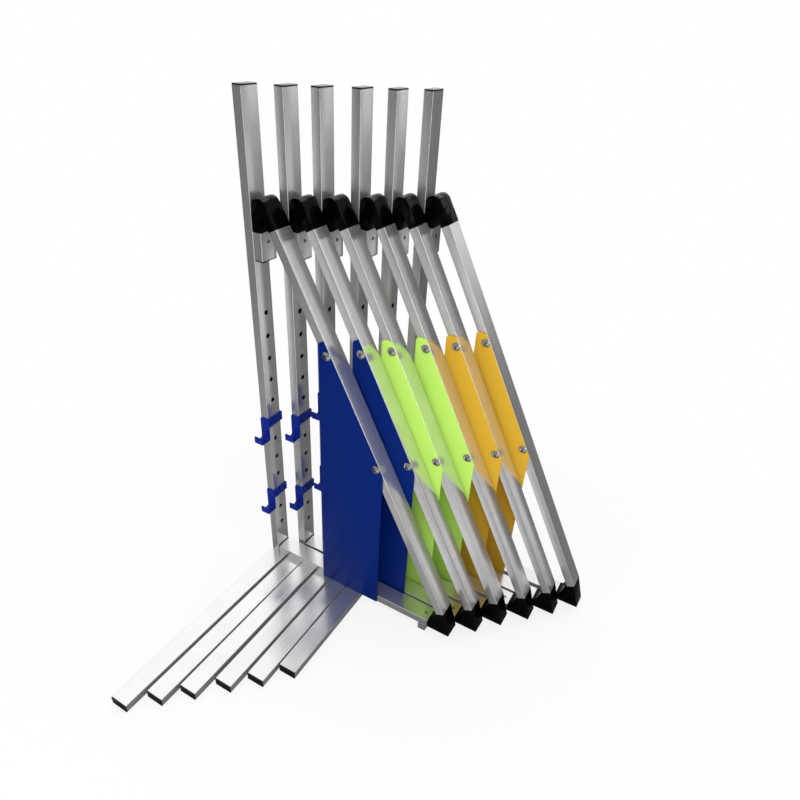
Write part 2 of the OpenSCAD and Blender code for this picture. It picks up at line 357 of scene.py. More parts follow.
def pick_edges(piece, axis, test):
    """Selects the edges that lie along one axis and whose two ends pass the test."""
    bpy.ops.mesh.select_mode(type="EDGE")
    bpy.ops.mesh.select_all(action="DESELECT")
    mesh = bmesh.from_edit_mesh(piece.data)
    found = []
    for edge in mesh.edges:
        run = edge.verts[1].co - edge.verts[0].co
        along = abs(run.dot(axis)) > ALONG * run.length
        if along and all(test(end.co) for end in edge.verts):
            found.append(edge)
    if not found:
        raise RuntimeError(f"no edge of {piece.name} is where one was expected")
    for edge in found:
        edge.select_set(True)
    bmesh.update_edit_mesh(piece.data)


def pull(vector):
    bpy.ops.mesh.extrude_region_move(TRANSFORM_OT_translate={"value": tuple(vector)})


def cut(point, normal, trim=False):
    """Cuts the open piece along a plane, and takes away what lies on the normal's side."""
    bpy.ops.mesh.select_all(action="SELECT")
    bpy.ops.mesh.bisect(
        plane_co=tuple(point), plane_no=tuple(normal), use_fill=trim, clear_outer=trim
    )


def combine(piece, other, operation):
    """Joins another solid to the piece or takes it away, and removes the other solid."""
    let_go()
    bpy.context.view_layer.objects.active = piece
    piece.select_set(True)
    modifier = piece.modifiers.new(operation, "BOOLEAN")
    modifier.operation = operation
    modifier.solver = "EXACT"
    modifier.object = other
    bpy.ops.object.modifier_apply(modifier=modifier.name)
    bpy.data.objects.remove(other)


def round_edges(piece, width, segments=3, sharper_than=30):
    """Rounds every edge that is sharper than an angle in degrees, and shades the rest smooth."""
    smooth_below = math.radians(35)
    let_go()
    bpy.context.view_layer.objects.active = piece
    piece.select_set(True)
    modifier = piece.modifiers.new("Rounded edges", "BEVEL")
    modifier.width = width
    modifier.segments = segments
    modifier.limit_method = "ANGLE"
    modifier.angle_limit = math.radians(sharper_than)
    modifier.use_clamp_overlap = True
    bpy.ops.object.modifier_apply(modifier=modifier.name)
    bpy.ops.object.shade_smooth_by_angle(angle=smooth_below)


def placed_copy(piece, matrix):
    copy = piece.copy()
    copy.data = piece.data.copy()
    copy.data.transform(matrix)
    bpy.context.scene.collection.objects.link(copy)
    return copy


def join(name, copies):
    let_go()
    for copy in copies:
        copy.select_set(True)
    bpy.context.view_layer.objects.active = copies[0]
    bpy.ops.object.join()
    copies[0].name = name
    return copies[0]


def fit_to_wings(model, name, node_kind, body_kind, slot, material, heights=None, wings=WINGS):
    """Copies a finished model to the wings, where it stands for a CAD node and rides on a body."""
    for wing in wings:
        place = wing_place(wing)
        if heights:
            place = place @ Matrix.Translation((0, 0, heights[wing]))
        piece = placed_copy(model, place)
        piece.name = f"{name}_{wing}"
        piece.data.materials.clear()
        piece.data.materials.append(material(wing))
        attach(piece, f"{body_kind}_{wing}")
        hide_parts(f"{node_kind}_{wing}")
        slot(wing)
    bpy.data.objects.remove(model)


# Materials


def new_material(name):
    material = bpy.data.materials.new(name)
    material.use_nodes = True
    return material, material.node_tree, material.node_tree.nodes["Principled BSDF"]


def add(tree, kind, settings=None, **links):
    """Adds a node, sets its values and links its inputs by name."""
    node = tree.nodes.new("ShaderNode" + kind)
    for name, value in (settings or {}).items():
        if name in node.inputs:
            node.inputs[name].default_value = value
        else:
            setattr(node, name, value)
    for name, source in links.items():
        tree.links.new(source, node.inputs[name.replace("_", " ")])
    return node


def set_up(shader, **values):
    for name, value in values.items():
        shader.inputs[name.replace("_", " ")].default_value = value


def extruded_aluminium(name, along):
    """Mill-finish aluminium tube, drawn through a die along one direction.

    The die leaves fine lines along the tube, so the gloss changes across it and hardly along it.
    The outside is bright and half-gloss, under a thin oxide that scatters a little of the light.
    The inside is painted dark, as painted shade for a closed bore that no light reaches.
    """
    material, tree, shader = new_material(name)
    colours = sizes("hurdle_colours")
    set_up(shader, Metallic=0.85)
    place = add(tree, "TexCoord")
    # Die lines are drawn 5 mm apart and 500 mm long, coarser than real ones, so that they show
    across, lengthways = 1 / (5 * MM), 1 / (500 * MM)
    lean = -sizes("hurdle_brace").angle if along == "brace" else 0
    grain_axis = "Z" if along == "brace" else along
    scale = [lengthways if axis == grain_axis else across for axis in "XYZ"]
    level = add(
        tree,
        "Mapping",
        {"vector_type": "TEXTURE", "Rotation": (0, lean, 0)},
        Vector=place.outputs["Object"],
    )
    stretched = add(tree, "Mapping", {"Scale": scale}, Vector=level.outputs["Vector"])
    lines = add(
        tree, "TexNoise", {"Scale": 1.0, "Detail": 1.0}, Vector=stretched.outputs["Vector"]
    )
    gloss = add(
        tree,
        "MapRange",
        {**NOISE_SPAN, "To Min": 0.19, "To Max": 0.24},
        Value=lines.outputs["Fac"],
    )
    tree.links.new(gloss.outputs["Result"], shader.inputs["Roughness"])
    # Broad patches of handling and storage, about 60 mm across, tint the face a little
    patches = add(
        tree,
        "TexNoise",
        {"Scale": 1 / (60 * MM), "Detail": 2.0},
        Vector=place.outputs["Object"],
    )
    tint = add(
        tree,
        "MapRange",
        {**NOISE_SPAN, "To Min": 0.93, "To Max": 1.0},
        Value=patches.outputs["Fac"],
    )
    streaks = add(
        tree,
        "MapRange",
        {**NOISE_SPAN, "To Min": 0.97, "To Max": 1.0},
        Value=lines.outputs["Fac"],
    )
    wear = add(tree, "Math", {"operation": "MULTIPLY"})
    tree.links.new(tint.outputs["Result"], wear.inputs[0])
    tree.links.new(streaks.outputs["Result"], wear.inputs[1])
    face = add(tree, "Mix", {"data_type": "RGBA", "blend_type": "MULTIPLY"})
    face.inputs["Factor"].default_value = 1.0
    face.inputs[MIX_A].default_value = colours.aluminium
    tree.links.new(wear.outputs["Value"], face.inputs[MIX_B])
    # Painted shade: a closed bore sees no light, so its wall is painted dark and shows dark through
    # the peg holes
    closed = add(tree, "AmbientOcclusion", {"only_local": True, "Distance": 60 * MM, "samples": 16})
    wall = add(tree, "Mix", {"data_type": "RGBA"})
    tree.links.new(closed.outputs["AO"], wall.inputs["Factor"])
    wall.inputs[MIX_A].default_value = colours.bore
    tree.links.new(face.outputs[MIX_RESULT], wall.inputs[MIX_B])
    tree.links.new(wall.outputs[MIX_RESULT], shader.inputs["Base Color"])
    return material


def moulded_plastic(name, base, roughness, grain, reflection):
    """Injection-moulded plastic: even colour, soft gloss and the mould's fine grain.

    The grain is the distance between two bumps of the mould's face.
    """
    material, tree, shader = new_material(name)
    set_up(shader, Base_Color=base, IOR=1.5, Specular_IOR_Level=reflection)
    place = add(tree, "TexCoord")
    # The mould's grain is drawn nearly 1 mm wide, coarser than a real one, so that it shows
    pits = add(
        tree,
        "TexNoise",
        {"Scale": 1 / grain, "Detail": 2.0},
        Vector=place.outputs["Object"],
    )
    bump = add(
        tree,
        "Bump",
        {"Strength": 0.12, "Distance": 0.05 * MM},
        Height=pits.outputs["Fac"],
    )
    tree.links.new(bump.outputs["Normal"], shader.inputs["Normal"])
    # The gloss of handled plastic varies a little, over about 25 mm
    spread = 0.15
    rub = add(
        tree,
        "TexNoise",
        {"Scale": 1 / (25 * MM), "Detail": 2.0},
        Vector=place.outputs["Object"],
    )
    gloss = add(
        tree,
        "MapRange",
        {**NOISE_SPAN, "To Min": roughness * (1 - spread), "To Max": roughness * (1 + spread)},
        Value=rub.outputs["Fac"],
    )
    tree.links.new(gloss.outputs["Result"], shader.inputs["Roughness"])
    return material


def sheet_plastic(name, base):
    """Rigid PVC sheet: a calendered, half-gloss face with long shallow waves."""
    material, tree, shader = new_material(name)
    set_up(shader, Base_Color=base, IOR=1.53, Specular_IOR_Level=0.05)
    place = add(tree, "TexCoord")
    # Waves left by the rollers, about 90 mm long and too shallow to see except in the gloss
    waves = add(
        tree,
        "TexNoise",
        {"Scale": 1 / (90 * MM), "Detail": 1.0},
        Vector=place.outputs["Object"],
    )
    bump = add(
        tree,
        "Bump",
        {"Strength": 0.25, "Distance": 0.6 * MM},
        Height=waves.outputs["Fac"],
    )
    tree.links.new(bump.outputs["Normal"], shader.inputs["Normal"])
    # Rubbing marks break up the gloss, and are drawn 4 mm apart, coarser than real ones
    rub = add(
        tree,
        "TexNoise",
        {"Scale": 1 / (4 * MM), "Detail": 4.0},
        Vector=place.outputs["Object"],
    )
    gloss = add(
        tree,
        "MapRange",
        {**NOISE_SPAN, "To Min": 0.3, "To Max": 0.4},
        Value=rub.outputs["Fac"],
    )
    tree.links.new(gloss.outputs["Result"], shader.inputs["Roughness"])
    return material


def zinc_plate(name):
    """Bright zinc plate on pressed steel: nearly a mirror, with a faint haze."""
    material, tree, shader = new_material(name)
    set_up(shader, Metallic=1.0)
    place = add(tree, "TexCoord")
    haze = add(
        tree,
        "TexNoise",
        {"Scale": 1 / (3 * MM), "Detail": 3.0},
        Vector=place.outputs["Object"],
    )
    gloss = add(
        tree,
        "MapRange",
        {**NOISE_SPAN, "To Min": 0.05, "To Max": 0.1},
        Value=haze.outputs["Fac"],
    )
    tree.links.new(gloss.outputs["Result"], shader.inputs["Roughness"])
    # Painted shade darkens the socket and the rim where it meets the panel, within about 4 mm
    closed = add(tree, "AmbientOcclusion", {"Distance": 4 * MM, "samples": 16})
    unshaded = add(
        tree,
        "MapRange",
        {"From Min": 0.5, "From Max": 0.85},
        Value=closed.outputs["AO"],
    )
    face = add(tree, "Mix", {"data_type": "RGBA"})
    tree.links.new(unshaded.outputs["Result"], face.inputs["Factor"])
    face.inputs[MIX_A].default_value = sizes("hurdle_colours").bore
    face.inputs[MIX_B].default_value = sizes("hurdle_colours").zinc
    tree.links.new(face.outputs[MIX_RESULT], shader.inputs["Base Color"])
    return material


def material_named(name, maker, **values):
    """The material of that name, which is made when it is asked for the first time."""
    return bpy.data.materials.get(name) or maker(name, **values)


# Each of these gives a wing's material, and only the panels differ from wing to wing


def black_plastic(wing):
    return material_named(
        "Black moulded polypropylene",
        moulded_plastic,
        base=sizes("hurdle_colours").black,
        roughness=0.22,
        grain=0.9 * MM,
        reflection=0.1,
    )


def plug_plastic(wing):
    return material_named(
        "Black glossy polyethylene",
        moulded_plastic,
        base=sizes("hurdle_colours").black,
        roughness=0.2,
        grain=0.9 * MM,
        reflection=0.5,
    )


def cup_plastic(wing):
    return material_named(
        "Blue moulded nylon",
        moulded_plastic,
        base=sizes("hurdle_colours").cup,
        roughness=0.26,
        grain=0.8 * MM,
        reflection=0.16,
    )


def panel_plastic(wing):
    tint = PANEL_COLOURS[wing - 1]
    base = getattr(sizes("hurdle_colours"), tint)
    return material_named(f"{tint.title()} PVC sheet", sheet_plastic, base=base)


def bright_zinc(wing):
    return material_named("Bright zinc plate", zinc_plate)


# Operators, one for each group of like pieces


class HURDLE_OT_tubes(bpy.types.Operator):
    """Gives every tube its extruded aluminium, with the die lines along the tube"""

    bl_idname = "hurdle.tubes"
    bl_label = "Aluminium tubes"

    def execute(self, context):
        for kind, along in TUBE_LINES.items():
            metal = material_named(
                f"Extruded aluminium along {along}", extruded_aluminium, along=along
            )
            for wing in WINGS:
                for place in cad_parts[f"{kind}_{wing}"].material_slots:
                    place.material = metal
        return {"FINISHED"}


class HURDLE_OT_knuckles(bpy.types.Operator):
    """Models the two halves of the knuckle at the top of each brace"""

    bl_idname = "hurdle.knuckles"
    bl_label = "Knuckles"

    def half(self, name, ear_from, ear_to, ledge):
        """One half, with the pivot at the origin and its tube on the +X side, below."""
        brace = sizes("hurdle_brace")
        radius = brace.ear_radius
        near, far = brace.tube_offset - TUBE_T, brace.tube_offset
        beside = (-OVERCUT, ear_from) if ear_from > 0 else (ear_to, TUBE_W + OVERCUT)
        collar = add_block(name, (near, 0, -brace.tube_reach), (far, TUBE_W, -ledge))
        room = add_disc("Room for the other ear", radius + brace.ear_gap, *beside)
        combine(collar, room, "DIFFERENCE")
        # The outer face leans in from a little below the pivot and meets the ear without a step
        start = Vector((far, 0, -radius / 2))
        slant = math.acos(radius / start.length) - math.atan2(-start.z, start.x)
        lean = Vector((math.cos(slant), 0, math.sin(slant)))
        arm_top = radius * math.sin(slant)
        arm = add_block("Arm", (near, ear_from, -brace.tube_reach), (far, ear_to, arm_top))
        work_on(arm)
        cut(start, lean, trim=True)
        let_go()
        combine(collar, arm, "UNION")
        combine(collar, add_disc("Ear", radius, ear_from, ear_to), "UNION")
        return collar

    def execute(self, context):
        brace = sizes("hurdle_brace")
        rounding = sizes("hurdle_fittings").rounding
        seam = brace.ear_depth + brace.ear_gap
        on_brace_half = Matrix.Translation(pivot()) @ Matrix.Rotation(-brace.angle, 4, "Y")
        front = self.half("Brace half", 0, brace.ear_depth, brace.ear_radius + brace.ear_gap)
        front.data.transform(on_brace_half)
        rear = self.half("Stub half", seam, TUBE_W, brace.stub_ledge)
        rear.data.transform(Matrix.Translation(pivot()) @ Matrix.Scale(-1, 4, X_AXIS))
        rear.data.flip_normals()
        # The ear's square corner, which stops the other half at its ledge
        stop = add_block("Stop", (0, seam, -brace.ear_radius), (brace.ear_radius, TUBE_W, 0))
        stop.data.transform(on_brace_half)
        combine(rear, stop, "UNION")
        for model, name in ((front, "knuckle_front"), (rear, "knuckle_rear")):
            round_edges(model, rounding)
            fit_to_wings(
                model,
                name,
                node_kind="plastic_fittings",
                body_kind="wing",
                slot=lambda wing: "black_plastic",
                material=black_plastic,
            )
        return {"FINISHED"}


class HURDLE_OT_boots(bpy.types.Operator):
    """Models the boot at the corner between each side rail and its brace"""

    bl_idname = "hurdle.boots"
    bl_label = "Corner boots"

    def execute(self, context):
        brace, fitting = sizes("hurdle_brace"), sizes("hurdle_fittings")
        outer_top = TUBE_T + fitting.boot_height
        brace_end = (
            brace.pivot_height + brace.tube_offset * math.sin(brace.angle) - outer_top
        ) / math.cos(brace.angle)
        outer = on_brace(brace.tube_offset, brace_end)
        tip = Vector((outer.x + fitting.boot_toe, 0, TUBE_T))
        boot = add_block("Boot", (RAIL_END, 0, TUBE_T), (tip.x, TUBE_W, outer.z + fitting.spare))
        work_on(boot)
        # The slope from the toe to the brace, then the collar square to the brace
        slope = Vector((outer.z - tip.z, 0, tip.x - outer.x))
        cut(tip, slope, trim=True)
        cut(outer, -brace_down(), trim=True)
        let_go()
        # The inner side: a wedge between the side rail and the brace is taken away
        inner = on_brace(brace.tube_offset - TUBE_T, brace_end)
        heel = Vector((RAIL_END + fitting.boot_heel, 0, 2 * TUBE_T))
        wedge = add_block(
            "Wedge",
            (RAIL_END - OVERCUT, -OVERCUT, 2 * TUBE_T),
            (inner.x + fitting.spare, TUBE_W + OVERCUT, outer.z + 2 * fitting.spare),
        )
        work_on(wedge)
        rise = inner - heel
        cut(heel, Vector((rise.z, 0, -rise.x)), trim=True)
        let_go()
        combine(boot, wedge, "DIFFERENCE")
        round_edges(boot, fitting.rounding)
        fit_to_wings(
            boot,
            "corner_boot",
            node_kind="plastic_fittings",
            body_kind="wing",
            slot=lambda wing: "black_plastic",
            material=black_plastic,
        )
        return {"FINISHED"}


class HURDLE_OT_plugs(bpy.types.Operator):
    """Models the black plugs in the open ends of the tubes"""

    bl_idname = "hurdle.plugs"
    bl_label = "End plugs"

    def execute(self, context):
        brace, fitting = sizes("hurdle_brace"), sizes("hurdle_fittings")
        edge = fitting.flange_inset
        plug = add_block("Plug", (edge, edge, 0), (TUBE_T - edge, TUBE_W - edge, fitting.flange))
        work_on(plug)
        pick_faces(plug, lambda middle, normal: normal.z < -FACING)
        bpy.ops.mesh.inset(thickness=fitting.plug_inset - edge)
        pull((0, 0, -fitting.plug_depth))
        let_go()
        round_edges(plug, fitting.rounding)
        x, y, z = X_AXIS, Y_AXIS, Z_AXIS
        stub_foot = brace.pivot_height - brace.tube_reach - brace.stub_length
        # The upright's top, the stub tube's foot, the side rail's inner end, the foot rail's ends
        places = [
            turned(x, y, z, (-TUBE_T, 0, TUBE_T + UPRIGHT_LEN)),
            turned(x, -y, -z, (0, TUBE_W, stub_foot)),
            turned(z, y, -x, (fitting.flange, 0, TUBE_T)),
            turned(z, x, y, (-TUBE_T, TUBE_W - fitting.flange, 0)),
            turned(z, -x, -y, (TUBE_W - TUBE_T, -FOOT_REACH + fitting.flange, 0)),
        ]
        plugs = join("Plugs", [placed_copy(plug, place) for place in places])
        bpy.data.objects.remove(plug)
        fit_to_wings(
            plugs,
            "end_plugs",
            node_kind="plastic_fittings",
            body_kind="wing",
            slot=lambda wing: "black_plastic",
            material=plug_plastic,
        )
        return {"FINISHED"}


class HURDLE_OT_panels(bpy.types.Operator):
    """Models the coloured panel on each wing"""

    bl_idname = "hurdle.panels"
    bl_label = "Panels"

    def sheet(self, name, trim, level):
        """One panel, with its top edge level or square to the brace."""
        brace, size = sizes("hurdle_brace"), sizes("hurdle_panels")
        near, far = size.inset + trim, size.inset + size.width
        tip = on_brace(brace.tube_offset, size.top)
        near_z = tip.z - (tip.x - near) * math.tan(brace.angle)
        panel = add_block(name, (near, -size.thickness, TUBE_T), (far, 0, tip.z))
        work_on(panel)
        cut(tip, brace_out(), trim=True)
        if level:
            cut((0, 0, near_z), (0, 0, 1), trim=True)
            cut((near, 0, near_z - size.corner_cut), (-1, 0, 1), trim=True)
        else:
            cut(tip, -brace_down(), trim=True)
        let_go()
        round_edges(panel, size.edge, segments=2)
        return panel

    def execute(self, context):
        blue = [wing for wing in WINGS if PANEL_COLOURS[wing - 1] == "blue"]
        others = [wing for wing in WINGS if wing not in blue]
        square_cut = self.sheet("Blue panel", trim=sizes("hurdle_panels").blue_trim, level=False)
        level_cut = self.sheet("Level panel", trim=0, level=True)
        for panel, wings in ((square_cut, blue), (level_cut, others)):
            fit_to_wings(
                panel,
                "panel_sheet",
                node_kind="panel",
                body_kind="wing",
                slot=lambda wing: f"{PANEL_COLOURS[wing - 1]}_panel",
                material=panel_plastic,
                wings=wings,
            )
        return {"FINISHED"}


class HURDLE_OT_fasteners(bpy.types.Operator):
    """Models the two domed bolts and the two rivets of each wing"""

    bl_idname = "hurdle.fasteners"
    bl_label = "Bolts and rivets"

    def domed_bolt(self, size):
        """A dome cut from a ball, on a thin rim, that rises along +Z round its hexagon socket."""
        # A ball of this radius is as wide as the head, one head's height below its top
        radius = (size.head_height**2 + (size.head_diameter / 2) ** 2) / (2 * size.head_height)
        rim, close = size.head_rim, 0.1 * MM
        let_go()
        bpy.ops.mesh.primitive_uv_sphere_add(
            segments=48, ring_count=48, radius=radius, location=(0, 0, size.head_height - radius)
        )
        dome = bpy.context.object
        bpy.ops.object.transform_apply(location=True, rotation=True, scale=True)
        work_on(dome)
        cut((0, 0, rim), (0, 0, -1), trim=True)
        pick_faces(dome, lambda middle, normal: normal.z < -FACING and middle.z < rim + close)
        pull((0, 0, -rim))
        let_go()
        bpy.ops.mesh.primitive_cylinder_add(
            vertices=6,
            radius=size.socket_width / math.sqrt(3),
            depth=2 * size.socket_depth,
            location=(0, 0, size.head_height),
        )
        socket = bpy.context.object
        bpy.ops.object.transform_apply(location=True, rotation=True, scale=True)
        combine(dome, socket, "DIFFERENCE")
        round_edges(dome, size.head_rounding, segments=2, sharper_than=40)
        return dome

    def rivet(self, size):
        """A blind rivet: a low head on a shank, with the bore that its broken stem leaves."""
        shank_length, bore_depth = 5 * size.rivet_height, 4 * size.rivet_height
        let_go()
        bpy.ops.mesh.primitive_cylinder_add(
            vertices=32,
            radius=size.rivet_diameter / 2,
            depth=size.rivet_height,
            location=(0, 0, size.rivet_height / 2),
        )
        head = bpy.context.object
        bpy.ops.object.transform_apply(location=True, rotation=True, scale=True)
        work_on(head)
        pick_faces(head, lambda middle, normal: normal.z < -FACING)
        bpy.ops.mesh.inset(thickness=(size.rivet_diameter - size.rivet_shank) / 2)
        pull((0, 0, -shank_length))
        pick_faces(head, lambda middle, normal: normal.z > FACING)
        bpy.ops.mesh.inset(thickness=(size.rivet_diameter - size.rivet_bore) / 2)
        pull((0, 0, -bore_depth))
        let_go()
        round_edges(head, size.rivet_rounding, segments=2, sharper_than=50)
        return head

    def execute(self, context):
        brace, size = sizes("hurdle_brace"), sizes("hurdle_panels")
        x, y, z = X_AXIS, Y_AXIS, Z_AXIS
        across = brace.tube_offset - size.bolt_edge
        dome = self.domed_bolt(size)
        pieces = []
        for down in (size.bolt_upper, size.bolt_lower):
            spot = on_brace(across, down)
            pieces.append(placed_copy(dome, turned(x, z, -y, (spot.x, -size.thickness, spot.z))))
        rivet = self.rivet(size)
        rivet_z = brace.pivot_height - brace.tube_reach - size.rivet_drop
        rivet_x = RAIL_END - size.rivet_inset
        pieces.append(placed_copy(rivet, turned(-z, y, x, (TUBE_T, TUBE_W / 2, rivet_z))))
        pieces.append(placed_copy(rivet, turned(x, y, z, (rivet_x, TUBE_W / 2, 2 * TUBE_T))))
        for model in (dome, rivet):
            bpy.data.objects.remove(model)
        fit_to_wings(
            join("Fasteners", pieces),
            "bolts_and_rivets",
            node_kind="fasteners",
            body_kind="wing",
            slot=lambda wing: "zinc_plate",
            material=bright_zinc,
        )
        return {"FINISHED"}


class HURDLE_OT_cups(bpy.types.Operator):
    """Models the jump cups that slide on each upright"""

    bl_idname = "hurdle.cups"
    bl_label = "Jump cups"

    def execute(self, context):
        size = sizes("hurdle_cups")
        outer = size.gap + size.wall
        cheek_y = -outer
        floor_z = size.wall - size.drop
        band_z = size.top - size.band
        lip_y = cheek_y - size.trough
        cup = add_block("Cup", (-TUBE_T, cheek_y, -size.drop), (outer, -size.gap, size.top))
        work_on(cup)
        # The trough's floor and lip
        cut((0, 0, floor_z), (0, 0, 1))
        pick_faces(cup, lambda middle, normal: normal.y < -FACING and middle.z < floor_z)
        pull((0, -size.trough, 0))
        pull((0, -size.wall, 0))
        pick_faces(cup, lambda middle, normal: normal.z > FACING and middle.y < lip_y)
        pull((0, 0, size.lip - size.wall))
        # The band round the upright and the clip behind it
        cut((0, 0, band_z), (0, 0, 1))
        cut((size.gap, 0, 0), (1, 0, 0))
        pick_faces(
            cup,
            lambda middle, normal: normal.y > FACING and middle.x > size.gap and middle.z > band_z,
        )
        pull((0, TUBE_W + 2 * size.gap, 0))
        pull((0, size.wall, 0))
        pick_faces(cup, lambda middle, normal: normal.x < -FACING and middle.y > TUBE_W + size.gap)
        pull((outer - size.gap - size.clip, 0, 0))
        # Inner radii of the trough and the rounded corner of the cheek
        near = 0.01 * MM
        pick_edges(
            cup,
            X_AXIS,
            lambda end: abs(end.z - floor_z) < near
            and (abs(end.y - cheek_y) < near or abs(end.y - lip_y) < near),
        )
        bpy.ops.mesh.bevel(offset=size.trough_radius, segments=6, affect="EDGES")
        pick_edges(
            cup,
            Y_AXIS,
            lambda end: abs(end.x + TUBE_T) < near and abs(end.z - size.top) < near,
        )
        bpy.ops.mesh.bevel(offset=size.corner, segments=5, affect="EDGES")
        bpy.ops.mesh.select_all(action="SELECT")
        # Cuts that only cross a flat face are taken out of it again
        bpy.ops.mesh.dissolve_limited(angle_limit=math.radians(1))
        let_go()
        round_edges(cup, size.rounding)
        for side in ("upper_cup", "lower_cup"):
            heights = {wing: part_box(f"{side}_{wing}")[1].z - size.top for wing in WINGS}
            model = placed_copy(cup, Matrix.Identity(4))
            fit_to_wings(
                model,
                f"{side}_hook",
                node_kind=side,
                body_kind=side,
                slot=lambda wing: "blue_cup",
                material=cup_plastic,
                heights=heights,
            )
        bpy.data.objects.remove(cup)
        return {"FINISHED"}


class HURDLE_OT_stage(bpy.types.Operator):
    """Sets the pale floor, the soft studio light and the photograph's camera"""

    bl_idname = "hurdle.stage"
    bl_label = "Stage, light and camera"

    def floor(self, stage):
        let_go()
        bpy.ops.mesh.primitive_plane_add(size=stage.floor_size, location=(0, 0, -stage.floor_gap))
        floor = bpy.context.object
        floor.name = "floor"
        material, tree, shader = new_material("Pale floor")
        base = sizes("hurdle_colours").floor
        set_up(shader, Base_Color=base, Roughness=0.9, Specular_IOR_Level=0.0)
        place = add(tree, "TexCoord")
        path = add(tree, "LightPath")
        # Seen straight, the floor is plain white but for a faint shadow near the object
        middle = add(tree, "VectorMath", {"operation": "LENGTH"}, Vector=place.outputs["Object"])
        plain = add(
            tree,
            "MapRange",
            {"From Min": 0.6, "From Max": 1.4, "To Min": 0.8, "To Max": 1.0},
            Value=middle.outputs["Value"],
        )
        seen = add(tree, "Math", {"operation": "MULTIPLY"})
        tree.links.new(path.outputs["Is Camera Ray"], seen.inputs[0])
        tree.links.new(plain.outputs["Result"], seen.inputs[1])
        white = add(tree, "Emission", {"Color": WHITE, "Strength": 1.0})
        mix = add(tree, "MixShader", Fac=seen.outputs["Value"])
        # Mirrored in the tubes, it is a lit sheet in front that gets darker towards the left
        sheet_middle = (0.35, -1.3, 0)
        to_window = (0.75, -0.66, 0)
        away = add(tree, "VectorMath", {"operation": "DISTANCE"}, Vector=place.outputs["Object"])
        away.inputs[1].default_value = sheet_middle
        side = add(tree, "VectorMath", {"operation": "DOT_PRODUCT"}, Vector=place.outputs["Object"])
        side.inputs[1].default_value = to_window
        sheet = add(
            tree,
            "MapRange",
            {"interpolation_type": "SMOOTHSTEP", "From Min": 2.5, "From Max": 0.8},
            Value=away.outputs["Value"],
        )
        right = add(
            tree,
            "MapRange",
            {
                "interpolation_type": "SMOOTHSTEP",
                "From Min": -0.1,
                "From Max": 0.9,
                "To Min": 0.3,
                "To Max": 1.0,
            },
            Value=side.outputs["Value"],
        )
        # Right beside a piece that lies on it, the floor is in shade
        open_floor = add(tree, "AmbientOcclusion", {"Distance": 70 * MM, "samples": 4})
        shade = add(
            tree,
            "MapRange",
            {"From Min": 0.75, "From Max": 0.98, "To Min": 0.12, "To Max": 1.0},
            Value=open_floor.outputs["AO"],
        )
        lit = add(tree, "Math", {"operation": "MULTIPLY"})
        tree.links.new(sheet.outputs["Result"], lit.inputs[0])
        tree.links.new(right.outputs["Result"], lit.inputs[1])
        near = add(tree, "Math", {"operation": "MULTIPLY"})
        tree.links.new(lit.outputs["Value"], near.inputs[0])
        tree.links.new(shade.outputs["Result"], near.inputs[1])
        # Far away the floor is dark but for the front right, where the studio's window is
        window = add(
            tree,
            "MapRange",
            {"From Min": 0.0, "From Max": 4.0, "To Min": 0.08, "To Max": 0.8},
            Value=side.outputs["Value"],
        )
        level = add(tree, "Math", {"operation": "MAXIMUM"})
        tree.links.new(near.outputs["Value"], level.inputs[0])
        tree.links.new(window.outputs["Result"], level.inputs[1])
        mirrored = add(tree, "Emission", {"Color": WHITE}, Strength=level.outputs["Value"])
        gloss = add(tree, "MixShader", Fac=path.outputs["Is Glossy Ray"])
        tree.links.new(shader.outputs["BSDF"], gloss.inputs[1])
        tree.links.new(mirrored.outputs["Emission"], gloss.inputs[2])
        tree.links.new(gloss.outputs["Shader"], mix.inputs[1])
        tree.links.new(white.outputs["Emission"], mix.inputs[2])
        tree.links.new(mix.outputs["Shader"], tree.nodes["Material Output"].inputs["Surface"])
        floor.data.materials.append(material)

    def lamp(self, name, place, target, size, power, mirrored=False):
        """An area lamp of so many watts that shines at a point, and shows in metal if mirrored."""
        data = bpy.data.lights.new(name, "AREA")
        data.shape = "RECTANGLE"
        data.size, data.size_y = size
        data.energy = power
        lamp = bpy.data.objects.new(name, data)
        bpy.context.scene.collection.objects.link(lamp)
        lamp.location = place
        lamp.rotation_euler = (Vector(target) - Vector(place)).to_track_quat("-Z", "Y").to_euler()
        lamp.visible_glossy = mirrored

    def world(self):
        scene = bpy.context.scene
        scene.world = bpy.data.worlds.new("Studio")
        scene.world.use_nodes = True
        tree = scene.world.node_tree
        light = tree.nodes["Background"]
        light.inputs["Color"].default_value = WHITE
        place = add(tree, "TexCoord")
        # A studio that is light above and behind, less so at the front, and dark at the horizon
        ray = place.outputs["Generated"]
        height = add(tree, "SeparateXYZ", Vector=ray)
        rise = add(
            tree,
            "MapRange",
            {
                "interpolation_type": "SMOOTHSTEP",
                "From Min": -0.03,
                "From Max": 0.22,
                "To Min": 0.08,
                "To Max": 0.88,
            },
            Value=height.outputs["Z"],
        )
        to_back = (0.3, 0.95, 0)
        side = add(tree, "VectorMath", {"operation": "DOT_PRODUCT"}, Vector=ray)
        side.inputs[1].default_value = to_back
        front = add(
            tree,
            "MapRange",
            {"From Min": -0.6, "From Max": 0.0, "To Min": 0.55, "To Max": 1.0},
            Value=side.outputs["Value"],
        )
        walls = add(tree, "Math", {"operation": "MULTIPLY"})
        tree.links.new(rise.outputs["Result"], walls.inputs[0])
        tree.links.new(front.outputs["Result"], walls.inputs[1])
        # A large soft light hangs high at the back left
        to_soft_light = (-0.45, 0.39, 0.8)
        beside = add(tree, "VectorMath", {"operation": "DOT_PRODUCT"}, Vector=ray)
        beside.inputs[1].default_value = to_soft_light
        overhead = add(
            tree,
            "MapRange",
            {"From Min": 0.75, "From Max": 0.95, "To Min": 1.0, "To Max": 1.45},
            Value=beside.outputs["Value"],
        )
        room = add(tree, "Math", {"operation": "MULTIPLY"})
        tree.links.new(walls.outputs["Value"], room.inputs[0])
        tree.links.new(overhead.outputs["Result"], room.inputs[1])
